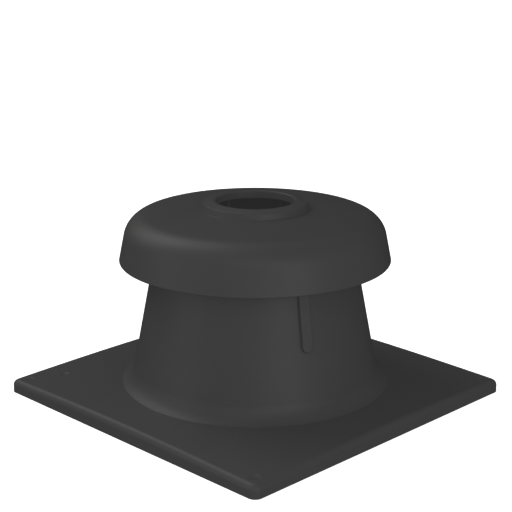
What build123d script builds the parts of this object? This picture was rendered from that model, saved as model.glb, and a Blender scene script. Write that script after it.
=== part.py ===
from build123d import *
import math
import os

# A flue terminal cap in two mouldings: a square shaft cover with a conical neck,
# and a mushroom-shaped rain hood that stands on the neck's top edge.
# Millimetres. The origin is the middle of the cover's underside, with +Z up and the sides along X and Y.

# Both mouldings
wall = 3.5

# Cover plate, which falls away from the neck to shed rain, with its turned-down rim
cover_side = 400.0
cover_side_height = 17.5
cover_fall = 2.4
cover_corner_radius = 9.0
cover_edge_radius = 7.5

# Conical neck, which reaches up past the hood's rim by its overlap; its base is at the rim's lower edge
neck_base_radius = 145.2
neck_taper = 10.9
neck_overlap = 24.8
neck_foot_fillet = 13.0

# Upright key ribs on the outside of the neck, evenly spaced
key_rib_count = 2
key_rib_angle = -19.8
key_rib_width = 12.4
key_rib_proud = 5.0
key_rib_foot_height = 89.0
key_rib_edge_radius = 1.5

# Dished drilling spots in the four corners, closed at the bottom
spot_inset = 15.5
spot_diameter = 12.4
spot_depth = 1.0

# Shallow round mark of the mould on the plate's top
mark_x = -164.0
mark_y = -149.5
mark_diameter = 11.5
mark_depth = 1.2

# Stiffening ribs under the plate, by turns to the middle of a side and to a corner
stiffener_count = 8
stiffener_thickness = 2.5
stiffener_foot_height = 3.5

# Rain hood: leaning skirt, round shoulder and shallow dome
hood_rim_radius = 152.6
hood_rim_height = 160.2
hood_height = 59.9
hood_skirt_lean = 11.5
hood_shoulder_radius = 28.5
hood_dome_radius = 1010.0
hood_rim_edge_radius = 1.4

# Collar around the flue hole: a level crest, a sloping bead and a steep foot, with a lip down into the hole
flue_hole_radius = 44.0
collar_rise = 7.3
collar_crest_width = 4.0
collar_bead_width = 10.0
collar_bead_drop = 2.4
collar_foot_width = 2.0
collar_lip_length = 8.7
collar_foot_fillet = 1.0
collar_bead_fillet = 1.2
collar_crest_fillet = 5.0
collar_lip_fillet = 1.5

# Webs under the dome, notched to sit on the neck, with a pair astride each key rib
webs_between_keys = 3
web_thickness = 3.0
web_reach = 20.0
web_grip = 13.0
neck_clearance = 0.6
key_clearance = 0.5

# Worked out from the sizes above
fall = math.radians(cover_fall)
taper = math.radians(neck_taper)
lean = math.radians(hood_skirt_lean)
neck_ring_radius = neck_base_radius + neck_foot_fillet
neck_top_height = hood_rim_height + neck_overlap
hood_dome_height = hood_rim_height + hood_height
collar_top_height = hood_dome_height + collar_rise
collar_crest_radius = flue_hole_radius + collar_crest_width
collar_bead_radius = collar_crest_radius + collar_bead_width
collar_foot_radius = collar_bead_radius + collar_foot_width
collar_bead_height = collar_top_height - collar_bead_drop
web_foot_height = neck_top_height - web_grip


def plate_point(radius, inset):
    """A point of the plate's falling section, inset downwards from its top."""
    height = cover_side_height + (cover_side / 2 - radius) * math.tan(fall)
    return (radius, height - inset / math.cos(fall))


def neck_point(height, inset):
    """A point of the neck's section, inset inwards from its outer face."""
    radius = neck_base_radius - height * math.tan(taper)
    return (radius - inset / math.cos(taper), height)


def foot_point(inset):
    """The corner where the neck's line and the plate's line cross, before it is rounded."""
    base_radius = neck_point(0, inset)[0]
    height = plate_point(base_radius, inset)[1] / (1 - math.tan(taper) * math.tan(fall))
    return neck_point(height, inset)


def skirt_point(height, inset):
    """A point of the hood's skirt, inset inwards from its outer face."""
    radius = hood_rim_radius - (height - hood_rim_height) * math.tan(lean)
    return (radius - inset / math.cos(lean), height)


def dome_point(radius, inset):
    """A point of the hood's dome, inset inwards from its outer face."""
    center_height = hood_dome_height - hood_dome_radius
    return (radius, center_height + math.sqrt((hood_dome_radius - inset) ** 2 - radius**2))


def shoulder_point(inset):
    """The corner where the skirt's line and the dome's arc cross, before it is rounded."""
    rim_radius = skirt_point(hood_rim_height, inset)[0]
    rim_rise = hood_rim_height - hood_dome_height + hood_dome_radius
    square = 1 + math.tan(lean) ** 2
    half_linear = rim_rise - rim_radius * math.tan(lean)
    constant = rim_radius**2 + rim_rise**2 - (hood_dome_radius - inset) ** 2
    climb = (math.sqrt(half_linear**2 - square * constant) - half_linear) / square
    return skirt_point(hood_rim_height + climb, inset)


def dome_arc(start_radius, end_radius, inset):
    """The dome's arc between two radii."""
    middle_radius = (start_radius + end_radius) / 2
    return ThreePointArc(
        dome_point(start_radius, inset),
        dome_point(middle_radius, inset),
        dome_point(end_radius, inset),
    )


def round_corner(sketch, corner, radius):
    """Round the sketch's corner at a point of the section plane."""
    place = Vector(corner[0], corner[1], 0)
    fillet(sketch.vertices().sort_by_distance(place)[0], radius)


def make_body(inset):
    """The solid under the cover's outer face, inset inwards: the round-edged falling plate and the neck."""
    side = cover_side - 2 * inset
    with BuildPart() as body:
        with BuildSketch():
            RectangleRounded(side, side, cover_corner_radius - inset)
        extrude(amount=neck_top_height)
        with BuildSketch(Plane.XZ):
            with BuildSketch(Plane.XY, mode=Mode.PRIVATE) as section:
                with BuildLine():
                    Polyline(
                        (0, 0),
                        (cover_side, 0),
                        plate_point(cover_side, inset),
                        foot_point(inset),
                        neck_point(neck_top_height, inset),
                        (0, neck_top_height),
                        close=True,
                    )
                make_face()
                round_corner(section, foot_point(inset), neck_foot_fillet + inset)
            add(section.sketch)
        revolve(axis=Axis.Z, mode=Mode.INTERSECT)
        fillet(body.edges().filter_by(GeomType.BSPLINE), cover_edge_radius - inset)
    return body.part


def make_key_rib():
    """One upright rib that lies along the neck at zero angle, with a round foot."""
    foot = neck_point(key_rib_foot_height + key_rib_width / 2, 0)
    face_plane = Plane(
        origin=(foot[0], 0, foot[1]),
        x_dir=(0, 1, 0),
        z_dir=(math.cos(taper), 0, math.sin(taper)),
    )
    length = 2 * (neck_top_height - foot[1])
    root_depth = wall / 2
    with BuildPart() as rib:
        with BuildSketch(Plane.XY.offset(-root_depth)):
            Circle(key_rib_width / 2)
            with Locations((0, length / 2)):
                Rectangle(key_rib_width, length)
        extrude(amount=root_depth + key_rib_proud)
        fillet(rib.faces().sort_by(Axis.Z)[-1].edges(), key_rib_edge_radius)
    above_neck = Pos(0, 0, neck_top_height) * Box(
        cover_side, cover_side, length, align=(Align.CENTER, Align.CENTER, Align.MIN)
    )
    return face_plane * rib.part - above_neck


def make_stiffener(rim_radius):
    """One rib under the plate at zero angle, from the neck's ring to the rim at a radius."""
    root = wall / 2
    bend = cover_edge_radius - root
    bend_radius = rim_radius - cover_edge_radius
    bend_height = plate_point(bend_radius, root)[1] - bend
    bend_start = (bend_radius + bend, bend_height)
    bend_middle = (bend_radius + bend / math.sqrt(2), bend_height + bend / math.sqrt(2))
    bend_end = (bend_radius, bend_height + bend)
    ring_end = plate_point(neck_ring_radius, root)
    with BuildPart() as stiffener:
        with BuildSketch(Plane.XZ):
            with BuildLine():
                Polyline(
                    bend_end,
                    ring_end,
                    (neck_ring_radius, stiffener_foot_height),
                    (rim_radius - root, stiffener_foot_height),
                    bend_start,
                )
                ThreePointArc(bend_start, bend_middle, bend_end)
            make_face()
        extrude(amount=stiffener_thickness / 2, both=True)
    return stiffener.part


def make_dish(diameter, depth, x, y):
    """A ball that cuts a round dish of the given width and depth into the plate's top at a place."""
    ball_radius = ((diameter / 2) ** 2 + depth**2) / (2 * depth)
    top = plate_point(math.hypot(x, y), 0)[1]
    return Pos(x, y, top - depth + ball_radius) * Sphere(ball_radius)


def make_shaft_cover():
    """The whole lower moulding: plate, neck, key ribs, stiffeners, drilling spots and mould mark."""
    side_rim = cover_side / 2
    corner_rim = math.sqrt(2) * (side_rim - cover_corner_radius) + cover_corner_radius
    spot_place = side_rim - spot_inset
    cover = make_body(0) - make_body(wall)
    for key in range(key_rib_count):
        cover += Rot(0, 0, key_rib_angle + 360 / key_rib_count * key) * make_key_rib()
    for turn in range(stiffener_count):
        rim = corner_rim if turn % 2 else side_rim
        cover += Rot(0, 0, 360 / stiffener_count * turn) * make_stiffener(rim)
    for x in (-spot_place, spot_place):
        for y in (-spot_place, spot_place):
            cover -= make_dish(spot_diameter, spot_depth, x, y)
    return cover - make_dish(mark_diameter, mark_depth, mark_x, mark_y)


def make_hood_shell():
    """The hood's skirt, shoulder, dome and collar as one turned section."""
    lip_radius = flue_hole_radius + wall
    lip_foot = collar_top_height - collar_lip_length
    groove_radius = collar_foot_radius - wall / 2
    rim_outer = skirt_point(hood_rim_height, 0)
    rim_inner = skirt_point(hood_rim_height, wall)
    outer_shoulder = shoulder_point(0)
    inner_shoulder = shoulder_point(wall)
    collar_bead = (collar_bead_radius, collar_bead_height)
    collar_crest = (collar_crest_radius, collar_top_height)
    collar_lip = (flue_hole_radius, collar_top_height)
    collar_foot = dome_point(collar_foot_radius, 0)
    with BuildPart() as shell:
        with BuildSketch(Plane.XZ):
            with BuildSketch(Plane.XY, mode=Mode.PRIVATE) as section:
                with BuildLine():
                    Line(rim_outer, outer_shoulder)
                    dome_arc(outer_shoulder[0], collar_foot_radius, 0)
                    Polyline(
                        collar_foot,
                        collar_bead,
                        collar_crest,
                        collar_lip,
                        (flue_hole_radius, lip_foot),
                        (lip_radius, lip_foot),
                        (lip_radius, collar_top_height - wall),
                        (collar_bead_radius - wall / 2, collar_bead_height - wall),
                        dome_point(groove_radius, wall),
                    )
                    dome_arc(groove_radius, inner_shoulder[0], wall)
                    Polyline(inner_shoulder, rim_inner, rim_outer)
                make_face()
                round_corner(section, outer_shoulder, hood_shoulder_radius)
                round_corner(section, inner_shoulder, hood_shoulder_radius - wall)
                round_corner(section, collar_foot, collar_foot_fillet)
                round_corner(section, collar_bead, collar_bead_fillet)
                round_corner(section, collar_crest, collar_crest_fillet)
                round_corner(section, collar_lip, collar_lip_fillet)
                round_corner(section, rim_outer, hood_rim_edge_radius)
                round_corner(section, rim_inner, hood_rim_edge_radius)
            add(section.sketch)
        revolve(axis=Axis.Z)
    return shell.part


def make_web():
    """One upright web under the dome at zero angle, notched to stand on the neck's top edge."""
    root = wall / 2
    shoulder = shoulder_point(root)
    web_inner_radius = neck_point(neck_top_height, wall)[0] - web_reach
    with BuildPart() as web:
        with BuildSketch(Plane.XZ):
            with BuildSketch(Plane.XY, mode=Mode.PRIVATE) as section:
                with BuildLine():
                    dome_arc(web_inner_radius, shoulder[0], root)
                    Polyline(
                        shoulder,
                        skirt_point(web_foot_height, root),
                        neck_point(web_foot_height, -neck_clearance),
                        neck_point(neck_top_height, -neck_clearance),
                        neck_point(neck_top_height, wall + neck_clearance),
                        neck_point(web_foot_height, wall + neck_clearance),
                        (web_inner_radius, web_foot_height),
                        dome_point(web_inner_radius, root),
                    )
                make_face()
                round_corner(section, shoulder, hood_shoulder_radius - root)
            add(section.sketch)
        extrude(amount=web_thickness / 2, both=True)
    return web.part


def make_rain_hood():
    """The whole upper moulding: the shell with its webs, of which a pair straddles each key rib."""
    fork_offset = key_rib_width / 2 + key_clearance + web_thickness / 2
    fork_angle = math.degrees(math.asin(fork_offset / neck_point(neck_top_height, 0)[0]))
    stations_per_key = webs_between_keys + 1
    station_step = 360 / (key_rib_count * stations_per_key)
    web = make_web()
    hood = make_hood_shell()
    for station in range(key_rib_count * stations_per_key):
        straddles_key = station % stations_per_key == 0
        turns = (-fork_angle, fork_angle) if straddles_key else (0,)
        for turn in turns:
            hood += Rot(0, 0, key_rib_angle + station_step * station + turn) * web
    return hood


os.makedirs("parts", exist_ok=True)
export_step(make_shaft_cover(), "parts/shaft_cover.step")
export_step(make_rain_hood(), "parts/rain_hood.step")
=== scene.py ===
import bpy
import math
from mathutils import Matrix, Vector


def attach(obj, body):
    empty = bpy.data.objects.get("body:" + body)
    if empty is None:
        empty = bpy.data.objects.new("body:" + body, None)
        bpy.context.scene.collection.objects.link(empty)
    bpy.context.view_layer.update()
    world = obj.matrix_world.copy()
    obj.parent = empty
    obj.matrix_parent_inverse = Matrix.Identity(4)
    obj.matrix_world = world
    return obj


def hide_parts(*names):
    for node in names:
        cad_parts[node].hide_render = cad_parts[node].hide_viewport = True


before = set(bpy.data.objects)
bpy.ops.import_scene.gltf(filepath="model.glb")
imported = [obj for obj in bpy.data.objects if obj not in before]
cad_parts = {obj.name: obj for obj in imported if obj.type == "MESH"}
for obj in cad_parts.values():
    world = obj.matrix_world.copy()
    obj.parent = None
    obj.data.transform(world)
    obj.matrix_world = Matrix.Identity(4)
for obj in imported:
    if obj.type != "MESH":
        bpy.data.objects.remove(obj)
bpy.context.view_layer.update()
print("frame loaded:", sorted(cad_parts))


# small helpers for working in edit mode

def makeActive(piece):
    bpy.ops.object.select_all(action="DESELECT")
    piece.select_set(True)
    bpy.context.view_layer.objects.active = piece


def pickPoints(piece, test):  # leaves edit mode on, with only the wanted points selected
    bpy.ops.object.mode_set(mode="EDIT")
    bpy.ops.mesh.select_mode(type="VERT")
    bpy.ops.mesh.select_all(action="DESELECT")
    bpy.ops.object.mode_set(mode="OBJECT")
    for point in piece.data.vertices:
        point.select = test(point.co)
    bpy.ops.object.mode_set(mode="EDIT")


def pickEdges(piece, test):  # the test sees both ends of an edge
    bpy.ops.object.mode_set(mode="EDIT")
    bpy.ops.mesh.select_mode(type="EDGE")
    bpy.ops.mesh.select_all(action="DESELECT")
    bpy.ops.object.mode_set(mode="OBJECT")
    points = piece.data.vertices
    for edge in piece.data.edges:
        edge.select = test(points[edge.vertices[0]].co, points[edge.vertices[1]].co)
    bpy.ops.object.mode_set(mode="EDIT")


def pickFaces(piece, test):  # the test sees a face's middle and normal
    bpy.ops.object.mode_set(mode="EDIT")
    bpy.ops.mesh.select_mode(type="FACE")
    bpy.ops.mesh.select_all(action="DESELECT")
    bpy.ops.object.mode_set(mode="OBJECT")
    for face in piece.data.polygons:
        face.select = test(face.center, face.normal)
    bpy.ops.object.mode_set(mode="EDIT")


def near(a, b, reach=0.00005):
    return abs(a - b) < reach


def drawSection(name, corners, closed):  # a line through (radius, height) corners in the XZ plane
    bpy.ops.object.select_all(action="DESELECT")
    bpy.ops.mesh.primitive_plane_add(size=0.001)
    piece = bpy.context.object
    piece.name = name
    bpy.ops.object.mode_set(mode="EDIT")
    bpy.ops.mesh.select_mode(type="VERT")
    bpy.ops.mesh.select_all(action="SELECT")
    bpy.ops.mesh.merge(type="CENTER")
    bpy.ops.transform.translate(value=(corners[0][0], 0, corners[0][1]))
    for before, after in zip(corners, corners[1:]):
        step = (after[0] - before[0], 0, after[1] - before[1])
        bpy.ops.mesh.extrude_vertices_move(TRANSFORM_OT_translate={"value": step})
    if closed:
        ends = (corners[0], corners[-1])
        pickPoints(piece, lambda co: any(near(co.x, r) and near(co.z, z) for r, z in ends))
        bpy.ops.mesh.edge_face_add()
    bpy.ops.object.mode_set(mode="OBJECT")
    return piece


def roundCorner(piece, corners, index, radius, segments):  # a bevel that follows a true arc
    here = Vector(corners[index])
    going = here - Vector(corners[index - 1])
    leaving = Vector(corners[(index + 1) % len(corners)]) - here
    half = going.angle(leaving) / 2
    share = math.cos(half) / (1 + math.cos(half))
    pickPoints(piece, lambda co: near(co.x, here.x) and near(co.z, here.y))
    bpy.ops.mesh.bevel(offset=radius * math.tan(half), offset_type="ABSOLUTE", affect="VERTICES",
                       segments=segments, profile=((1 + share) / 2) ** 2, clamp_overlap=False)
    bpy.ops.object.mode_set(mode="OBJECT")


def turnSection(piece, steps):  # spin the line once round the upright axis
    bpy.ops.object.mode_set(mode="EDIT")
    bpy.ops.mesh.select_all(action="SELECT")
    bpy.ops.mesh.spin(steps=steps, angle=2 * math.pi, center=(0, 0, 0), axis=(0, 0, 1))
    bpy.ops.mesh.select_all(action="SELECT")
    bpy.ops.mesh.remove_doubles(threshold=0.00001)
    bpy.ops.mesh.normals_make_consistent(inside=False)
    bpy.ops.object.mode_set(mode="OBJECT")


def thicken(piece, thickness):  # a closed line becomes a board, half to each side of the XZ plane
    bpy.ops.object.mode_set(mode="EDIT")
    bpy.ops.mesh.select_all(action="SELECT")
    bpy.ops.transform.translate(value=(0, -thickness / 2, 0))
    bpy.ops.mesh.edge_face_add()
    bpy.ops.mesh.extrude_region_move(TRANSFORM_OT_translate={"value": (0, thickness, 0)})
    bpy.ops.mesh.select_all(action="SELECT")
    bpy.ops.mesh.normals_make_consistent(inside=False)
    bpy.ops.object.mode_set(mode="OBJECT")


def settle(piece, place=(0, 0, 0), turn=(0, 0, 0)):  # move it, turn it, and keep that in the mesh
    makeActive(piece)
    piece.location = place
    piece.rotation_euler = turn
    bpy.ops.object.transform_apply(location=True, rotation=True, scale=True)


def copyOf(piece):
    makeActive(piece)
    bpy.ops.object.duplicate()
    return bpy.context.object


def joined(pieces):
    makeActive(pieces[0])
    for piece in pieces[1:]:
        piece.select_set(True)
    if len(pieces) > 1:
        bpy.ops.object.join()
    return pieces[0]


def combine(piece, tool, operation):  # one solid from two, or a cut
    makeActive(piece)
    bpy.ops.object.modifier_add(type="BOOLEAN")
    cut = piece.modifiers[-1]
    cut.operation = operation
    cut.solver = "EXACT"
    cut.object = tool
    bpy.ops.object.modifier_apply(modifier=cut.name)
    bpy.data.objects.remove(tool)


def smoothOver(piece, angle):
    makeActive(piece)
    bpy.ops.object.shade_smooth_by_angle(angle=math.radians(angle))
    bpy.ops.object.modifier_add(type="WEIGHTED_NORMAL")
    evenOut = piece.modifiers[-1]
    evenOut.keep_sharp = True
    bpy.ops.object.modifier_apply(modifier=evenOut.name)


# shared by both mouldings

wall = 0.0035
root = wall / 2  # ribs and webs start this deep in a wall
keyAngle = -19.8  # where the first key rib stands, in degrees
keys = 2
smoothAngle = 32


# rain hood: one turned shell, with webs under it

hood = {
    "rim": (0.1526, 0.1602),
    "rimInside": (0.14903, 0.1602),
    "shoulder": (0.142468, 0.210001),  # where the skirt and the dome would meet
    "shoulderInside": (0.139531, 0.206882),
    "shoulderRound": 0.0285,
    "rimRound": 0.0014,
    "crown": 0.2201,
    "domeRadius": 1.01,
    "domeRings": (0.118, 0.108, 0.098, 0.088, 0.078, 0.068),
    "collarFoot": 0.06,
    "collarBead": (0.058, 0.225),
    "collarCrest": (0.048, 0.2274),
    "flueHole": 0.044,
    "lipFoot": 0.2187,
    "grooveTop": (0.05625, 0.2215),
    "groove": 0.05825,
    "footRound": 0.0004,
    "beadRound": 0.0008,
    "crestRound": 0.005,
    "lipRound": 0.0015,
    "lipEdgeRound": 0.0004,
    "steps": 240,
}


def domeHeight(radius, inset):
    ballMiddle = hood["crown"] - hood["domeRadius"]
    return ballMiddle + math.sqrt((hood["domeRadius"] - inset) ** 2 - radius ** 2)


lipOutside = hood["flueHole"] + wall
hoodLine = [hood["rim"], hood["shoulder"]]
hoodLine += [(radius, domeHeight(radius, 0)) for radius in hood["domeRings"]]
hoodLine += [
    (hood["collarFoot"], domeHeight(hood["collarFoot"], 0)),
    hood["collarBead"],
    hood["collarCrest"],
    (hood["flueHole"], hood["collarCrest"][1]),
    (hood["flueHole"], hood["lipFoot"]),
    (lipOutside, hood["lipFoot"]),
    (lipOutside, hood["collarCrest"][1] - wall),
    hood["grooveTop"],
    (hood["groove"], domeHeight(hood["groove"], wall)),
]
hoodLine += [(radius, domeHeight(radius, wall)) for radius in reversed(hood["domeRings"])]
hoodLine += [hood["shoulderInside"], hood["rimInside"]]

rainHood = drawSection("rainHood", hoodLine, closed=True)
collarAt = 2 + len(hood["domeRings"])
lastCorner = len(hoodLine) - 1
hoodRounds = [  # corner of the line, radius, segments
    (0, hood["rimRound"], 5),
    (1, hood["shoulderRound"], 18),
    (collarAt, hood["footRound"], 3),
    (collarAt + 1, hood["beadRound"], 4),
    (collarAt + 2, hood["crestRound"], 4),
    (collarAt + 3, hood["lipRound"], 5),
    (collarAt + 4, hood["lipEdgeRound"], 2),
    (collarAt + 5, hood["lipEdgeRound"], 2),
    (lastCorner - 1, hood["shoulderRound"] - wall, 14),
    (lastCorner, hood["rimRound"], 5),
]
for index, radius, segments in hoodRounds:
    roundCorner(rainHood, hoodLine, index, radius, segments)
turnSection(rainHood, hood["steps"])
print("hood shell turned:", len(rainHood.data.polygons), "faces")

web = {
    "thickness": 0.003,
    "foot": 0.172,
    "inside": 0.08602,
    "notch": ((0.11268, 0.172), (0.11018, 0.185), (0.1054, 0.185), (0.1079, 0.172)),
    "skirt": (0.14841, 0.172),
    "shoulder": (0.140999, 0.208442),
    "domeRings": (0.098, 0.108, 0.118),
    "stations": 8,
    "fork": 4.29,  # half the angle between the two webs that stand astride a key rib
}

webLine = [(web["inside"], web["foot"]), (web["inside"], domeHeight(web["inside"], root))]
webLine += [(radius, domeHeight(radius, root)) for radius in web["domeRings"]]
shoulderAt = len(webLine)
webLine += [web["shoulder"], web["skirt"]]
webLine += list(web["notch"])
firstWeb = drawSection("seatWeb", webLine, closed=True)
roundCorner(firstWeb, webLine, shoulderAt, hood["shoulderRound"] - root, 8)
thicken(firstWeb, web["thickness"])

webs = []
stationsPerKey = web["stations"] // keys
for station in range(web["stations"]):
    straddlesKey = station % stationsPerKey == 0
    stationAngle = keyAngle + 360 / web["stations"] * station
    for fork in ((-web["fork"], web["fork"]) if straddlesKey else (0,)):
        oneWeb = copyOf(firstWeb)
        settle(oneWeb, turn=(0, 0, math.radians(stationAngle + fork)))
        webs.append(oneWeb)
bpy.data.objects.remove(firstWeb)
combine(rainHood, joined(webs), "UNION")
smoothOver(rainHood, smoothAngle)
print("hood webs joined:", len(rainHood.data.polygons), "faces")


# shaft cover: tray-shaped plate that falls to its edges, turned neck, key ribs and stiffeners

cover = {
    "side": 0.4,
    "height": 0.0175,  # at the middle of a side
    "fall": 2.4,
    "cornerRound": 0.009,
    "edgeRound": 0.0065,
    "neckTop": (0.109574, 0.185),
    "neckTopInside": (0.10601, 0.185),
    "neckFoot": (0.14029, 0.0255),
    "neckFootInside": (0.138444, 0.016577),
    "footEdge": 0.15205,  # the foot's round meets the plate at a low angle here
    "footRound": 0.0266,
    "ring": 0.168,  # the turned neck ends here and is bridged to the plate
    "sideCuts": 39,
    "steps": 240,
}
fall = math.radians(cover["fall"])
slope = math.tan(fall)


def plateHeight(radius, inset):
    top = cover["height"] + (cover["side"] / 2 - radius) * slope
    return top - inset / math.cos(fall)


neckLine = [
    (cover["ring"], plateHeight(cover["ring"], 0)),
    (cover["footEdge"], plateHeight(cover["footEdge"], 0)),
    cover["neckFoot"],
    cover["neckTop"],
    cover["neckTopInside"],
    cover["neckFootInside"],
    (cover["ring"], plateHeight(cover["ring"], wall)),
]
neck = drawSection("neck", neckLine, closed=False)
roundCorner(neck, neckLine, 2, cover["footRound"], 16)
roundCorner(neck, neckLine, 5, cover["footRound"], 16)
turnSection(neck, cover["steps"])

bpy.ops.object.select_all(action="DESELECT")
bpy.ops.mesh.primitive_cube_add(size=1)
shaftCover = bpy.context.object
shaftCover.name = "shaftCover"
shaftCover.scale = (cover["side"], cover["side"], cover["height"])
settle(shaftCover, place=(0, 0, cover["height"] / 2))
pickEdges(shaftCover, lambda a, b: near(a.x, b.x) and near(a.y, b.y))
bpy.ops.mesh.bevel(offset=cover["cornerRound"], segments=10, affect="EDGES")
pickEdges(shaftCover, lambda a, b: (a - b).length > cover["side"] / 4)  # the long sides only
bpy.ops.mesh.subdivide(number_cuts=cover["sideCuts"])
pickFaces(shaftCover, lambda middle, normal: normal.z < -0.9)
bpy.ops.mesh.inset(thickness=wall)
hollow = cover["height"] - wall
bpy.ops.mesh.extrude_region_move(TRANSFORM_OT_translate={"value": (0, 0, hollow)})
for level, radius in ((cover["height"], cover["edgeRound"]), (hollow, cover["edgeRound"] - wall)):
    pickEdges(shaftCover, lambda a, b: near(a.z, level) and near(b.z, level))
    bpy.ops.mesh.bevel(offset=radius, segments=8, affect="EDGES")
pickFaces(shaftCover, lambda middle, normal: abs(normal.z) > 0.9 and middle.xy.length < 0.01)
bpy.ops.mesh.delete(type="ONLY_FACE")
pickPoints(shaftCover, lambda co: co.z > 0.001)  # all but the rim's lower edge, which stays level
bpy.ops.object.vertex_group_add()
bpy.ops.object.vertex_group_assign()
bpy.ops.object.mode_set(mode="OBJECT")

bpy.ops.object.modifier_add(type="DISPLACE")  # lets the plate fall evenly from the middle outwards
sink = shaftCover.modifiers[-1]
sink.texture = bpy.data.textures.new("plateFall", "BLEND")
sink.texture.progression = "SPHERICAL"
sink.texture_coords = "LOCAL"
sink.direction = "Z"
sink.mid_level = 1 - cover["side"] / 2
sink.strength = slope
sink.vertex_group = shaftCover.vertex_groups[0].name
bpy.ops.object.modifier_apply(modifier=sink.name)

shaftCover = joined([shaftCover, neck])
for top in (True, False):  # bridge the open edges of the plate and the neck, above and below
    bpy.ops.object.mode_set(mode="EDIT")
    bpy.ops.mesh.select_mode(type="EDGE")
    bpy.ops.mesh.select_all(action="DESELECT")
    bpy.ops.mesh.select_non_manifold()
    bpy.ops.object.mode_set(mode="OBJECT")
    points = [point.co for point in shaftCover.data.vertices]
    for edge in shaftCover.data.edges:
        ends = [points[i] for i in edge.vertices]
        above = [co.z > plateHeight(math.hypot(co.x, co.y), root) for co in ends]
        edge.select = edge.select and above == [top, top]
    bpy.ops.object.mode_set(mode="EDIT")
    bpy.ops.mesh.bridge_edge_loops()
bpy.ops.mesh.select_all(action="SELECT")
bpy.ops.mesh.remove_doubles(threshold=0.00001)
bpy.ops.mesh.normals_make_consistent(inside=False)
bpy.ops.object.mode_set(mode="OBJECT")
print("cover plate and neck:", len(shaftCover.data.polygons), "faces")

keyRib = {
    "width": 0.0124,
    "proud": 0.005,
    "foot": (0.126863, 0, 0.0952),  # middle of the round foot, on the neck
    "length": 0.1,
    "edgeRound": 0.0015,
    "taper": 10.9,
    "topGap": 0.0001,  # the rib ends just under the neck's top edge
}

bpy.ops.object.select_all(action="DESELECT")
ribDepth = keyRib["proud"] + root
bpy.ops.mesh.primitive_cylinder_add(vertices=64, radius=keyRib["width"] / 2, depth=ribDepth)
firstRib = bpy.context.object
settle(firstRib, place=(0, 0, (keyRib["proud"] - root) / 2))
pickPoints(firstRib, lambda co: co.y > 0.00001)
bpy.ops.transform.translate(value=(0, keyRib["length"], 0))
pickEdges(firstRib, lambda a, b: near(a.z, keyRib["proud"]) and near(b.z, keyRib["proud"]))
bpy.ops.mesh.bevel(offset=keyRib["edgeRound"], segments=5, affect="EDGES")
bpy.ops.object.mode_set(mode="OBJECT")
settle(firstRib, turn=(math.radians(90), 0, math.radians(90)))
settle(firstRib, turn=(0, -math.radians(keyRib["taper"]), 0), place=keyRib["foot"])
bpy.ops.object.mode_set(mode="EDIT")
bpy.ops.mesh.select_all(action="SELECT")
ribTop = cover["neckTop"][1] - keyRib["topGap"]
bpy.ops.mesh.bisect(plane_co=(0, 0, ribTop), plane_no=(0, 0, 1), use_fill=True, clear_outer=True)
bpy.ops.object.mode_set(mode="OBJECT")
ribs = []
for key in range(keys):
    rib = copyOf(firstRib)
    settle(rib, turn=(0, 0, math.radians(keyAngle + 360 / keys * key)))
    ribs.append(rib)
bpy.data.objects.remove(firstRib)
combine(shaftCover, joined(ribs), "UNION")
print("key ribs joined")

under = {
    "thickness": 0.0025,
    "start": 0.1582,
    "foot": 0.0035,
    "sideRim": 0.2,
    "cornerRim": 0.279115,
    "edgeRound": 0.0005,
}

stiffeners = []
for rim, firstTurn in ((under["sideRim"], 0), (under["cornerRim"], 45)):
    end = rim - root
    barLine = [
        (under["start"], under["foot"]),
        (under["start"], plateHeight(under["start"], root)),
        (end, plateHeight(end, root)),
        (end, under["foot"]),
    ]
    firstBar = drawSection("stiffener", barLine, closed=True)
    roundCorner(firstBar, barLine, 2, cover["edgeRound"] - root, 6)
    thicken(firstBar, under["thickness"])
    pickEdges(firstBar, lambda a, b: near(a.z, under["foot"]) and near(b.z, under["foot"]))
    bpy.ops.mesh.bevel(offset=under["edgeRound"], segments=2, affect="EDGES")
    bpy.ops.object.mode_set(mode="OBJECT")
    for quarter in range(4):
        bar = copyOf(firstBar)
        settle(bar, turn=(0, 0, math.radians(firstTurn + 90 * quarter)))
        stiffeners.append(bar)
    bpy.data.objects.remove(firstBar)
combine(shaftCover, joined(stiffeners), "UNION")
print("stiffeners joined")

dishes = {
    "drillSpot": (0.0062, 0.001),  # half width and depth
    "spotPlaces": [(x, y) for x in (-0.1845, 0.1845) for y in (-0.1845, 0.1845)],
    "mouldMark": (0.00575, 0.0012),
    "markPlace": (-0.164, -0.1495),
}


def dishCutter(x, y, halfWidth, depth):
    ballRadius = (halfWidth ** 2 + depth ** 2) / (2 * depth)
    bpy.ops.object.select_all(action="DESELECT")
    bpy.ops.mesh.primitive_uv_sphere_add(segments=72, ring_count=72, radius=ballRadius)
    ball = bpy.context.object
    settle(ball, place=(x, y, plateHeight(math.hypot(x, y), 0) - depth + ballRadius))
    return ball


balls = [dishCutter(x, y, *dishes["drillSpot"]) for x, y in dishes["spotPlaces"]]
balls.append(dishCutter(*dishes["markPlace"], *dishes["mouldMark"]))
combine(shaftCover, joined(balls), "DIFFERENCE")
smoothOver(shaftCover, smoothAngle)
print("drilling spots and mark cut:", len(shaftCover.data.polygons), "faces")


# charcoal plastic with a fine moulded grain

plastic = {
    "darkTone": (0.038, 0.038, 0.038, 1),
    "lightTone": (0.042, 0.042, 0.042, 1),
    "roughLow": 0.46,
    "roughHigh": 0.54,
    "specular": 0.25,
    "grainSize": 900,  # specks for each metre
    "grainDepth": 0.00006,
    "grainStrength": 0.35,
    "mottleSize": 14,
    "spread": (0.3, 0.7),  # the part of the noise that is drawn out to the full range
}


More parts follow.
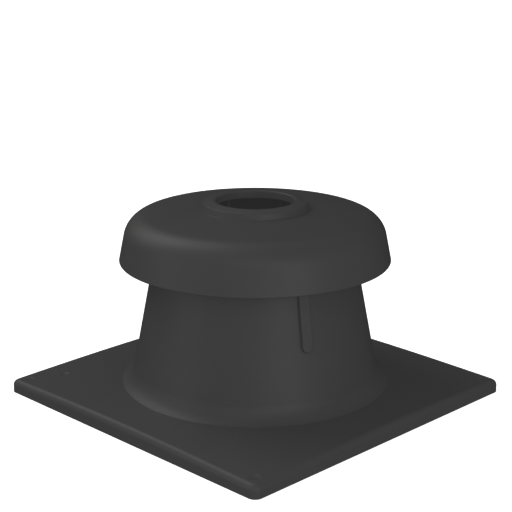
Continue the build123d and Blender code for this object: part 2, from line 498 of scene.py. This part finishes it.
def plasticFinish(name, seed):
    finish = bpy.data.materials.new(name)
    finish.use_nodes = True
    nodes = finish.node_tree.nodes
    links = finish.node_tree.links
    shader = nodes["Principled BSDF"]
    place = nodes.new("ShaderNodeTexCoord")
    shift = nodes.new("ShaderNodeMapping")
    shift.inputs["Location"].default_value = (seed, seed * 0.7, seed * 1.3)
    links.new(place.outputs["Object"], shift.inputs["Vector"])

    mottle = nodes.new("ShaderNodeTexNoise")
    mottle.inputs["Scale"].default_value = plastic["mottleSize"]
    mottle.inputs["Detail"].default_value = 5
    mottle.inputs["Roughness"].default_value = 0.6
    links.new(shift.outputs["Vector"], mottle.inputs["Vector"])

    speck = nodes.new("ShaderNodeTexNoise")
    speck.inputs["Scale"].default_value = plastic["grainSize"]
    speck.inputs["Detail"].default_value = 2
    links.new(shift.outputs["Vector"], speck.inputs["Vector"])

    tone = nodes.new("ShaderNodeValToRGB")
    dark, light = tone.color_ramp.elements
    dark.position, light.position = plastic["spread"]
    dark.color = plastic["darkTone"]
    light.color = plastic["lightTone"]
    links.new(mottle.outputs["Fac"], tone.inputs["Fac"])
    links.new(tone.outputs["Color"], shader.inputs["Base Color"])

    gloss = nodes.new("ShaderNodeMapRange")
    gloss.inputs["From Min"].default_value = plastic["spread"][0]
    gloss.inputs["From Max"].default_value = plastic["spread"][1]
    gloss.inputs["To Min"].default_value = plastic["roughLow"]
    gloss.inputs["To Max"].default_value = plastic["roughHigh"]
    links.new(speck.outputs["Fac"], gloss.inputs["Value"])
    links.new(gloss.outputs["Result"], shader.inputs["Roughness"])

    grain = nodes.new("ShaderNodeBump")
    grain.inputs["Strength"].default_value = plastic["grainStrength"]
    grain.inputs["Distance"].default_value = plastic["grainDepth"]
    links.new(speck.outputs["Fac"], grain.inputs["Height"])
    links.new(grain.outputs["Normal"], shader.inputs["Normal"])

    shader.inputs["Specular IOR Level"].default_value = plastic["specular"]
    return finish


for piece, node, seed in ((rainHood, "rain_hood", 0.0), (shaftCover, "shaft_cover", 3.7)):
    piece.data.materials.clear()
    piece.data.materials.append(plasticFinish(node + "Plastic", seed))
    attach(piece, "root")
    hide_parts(node)
print("plastic finish given to both mouldings")


# studio: pale floor, soft lights, and the camera as fitted to the photograph

studio = {
    "floorSize": 12,
    "floorTone": (0.9, 0.9, 0.9, 1),
    "floorRough": 0.9,
    "floorGlow": 0.9,
    "surround": 0.4,
    "white": (1, 1, 1, 1),
    "aim": (0, 0, 0.1),
    "lampSize": 1.2,
    "haze": 0.0187,  # the photograph's blacks are lifted by this much
}
lamps = [  # name, place, power, tone
    ("keyLight", (-1.219, -0.327, 1.902), 11.6, (1, 0.995, 0.98)),
    ("lowKeyLight", (-1.741, -0.466, 1.362), 5.6, (1, 0.995, 0.975)),
    ("leftFill", (-0.925, -1.983, 0.33), 4.2, (1, 1, 1)),
    ("frontFill", (0.55, -2.053, 0.669), 1, (1, 1, 1)),
    ("cameraFill", (1.347, -1.347, 1.2), 4, (1, 1, 1)),
    ("sideLight", (2.093, -0.561, 0.482), 10, (0.98, 0.985, 1)),
]
photoView = {
    "lens": 91.83,
    "sensor": 36,
    "shift": 0.0018,
    "place": (0.9982, -0.9982, 0.565),
    "tilt": 74.07,
    "turn": 45,
}

bpy.ops.object.select_all(action="DESELECT")
bpy.ops.mesh.primitive_plane_add(size=studio["floorSize"])
floor = bpy.context.object
floor.name = "studioFloor"
paper = bpy.data.materials.new("studioPaper")
paper.use_nodes = True
paperShader = paper.node_tree.nodes["Principled BSDF"]
paperShader.inputs["Base Color"].default_value = studio["floorTone"]
paperShader.inputs["Roughness"].default_value = studio["floorRough"]
paperShader.inputs["Emission Color"].default_value = studio["white"]
paperShader.inputs["Emission Strength"].default_value = studio["floorGlow"]
floor.data.materials.append(paper)
floor.visible_diffuse = False  # a light table: the surround shines up through it
floor.visible_glossy = False
floor.visible_shadow = False

surround = bpy.data.worlds.new("studioSurround")
surround.use_nodes = True
skyNodes = surround.node_tree.nodes
skyLinks = surround.node_tree.links
backdrop = skyNodes["Background"]
backdrop.inputs["Color"].default_value = studio["white"]
seen = skyNodes.new("ShaderNodeLightPath")
glow = skyNodes.new("ShaderNodeMapRange")  # a white backdrop, whose light on the plastic is softer
glow.inputs["To Min"].default_value = studio["surround"]
glow.inputs["To Max"].default_value = 1
skyLinks.new(seen.outputs["Is Camera Ray"], glow.inputs["Value"])
skyLinks.new(glow.outputs["Result"], backdrop.inputs["Strength"])
surround.cycles_visibility.glossy = False  # only the lamps shine on the plastic
bpy.context.scene.world = surround


def softLight(name, place, power, tone):
    lamp = bpy.data.lights.new(name, "AREA")
    lamp.energy = power
    lamp.size = studio["lampSize"]
    lamp.color = tone
    holder = bpy.data.objects.new(name, lamp)
    bpy.context.scene.collection.objects.link(holder)
    holder.location = place
    toAim = Vector(studio["aim"]) - Vector(place)
    holder.rotation_euler = toAim.to_track_quat("-Z", "Y").to_euler()


for lampRow in lamps:
    softLight(*lampRow)

lens = bpy.data.cameras.new("photoCamera")
lens.lens = photoView["lens"]
lens.sensor_width = photoView["sensor"]
lens.shift_x = photoView["shift"]
camera = bpy.data.objects.new("photoCamera", lens)
bpy.context.scene.collection.objects.link(camera)
camera.location = photoView["place"]
camera.rotation_euler = (math.radians(photoView["tilt"]), 0, math.radians(photoView["turn"]))
bpy.context.scene.camera = camera
view = bpy.context.scene.view_settings
view.view_transform = "Standard"
view.use_curve_mapping = True
view.curve_mapping.black_level = (-studio["haze"],) * 3
view.curve_mapping.update()
print("studio set")
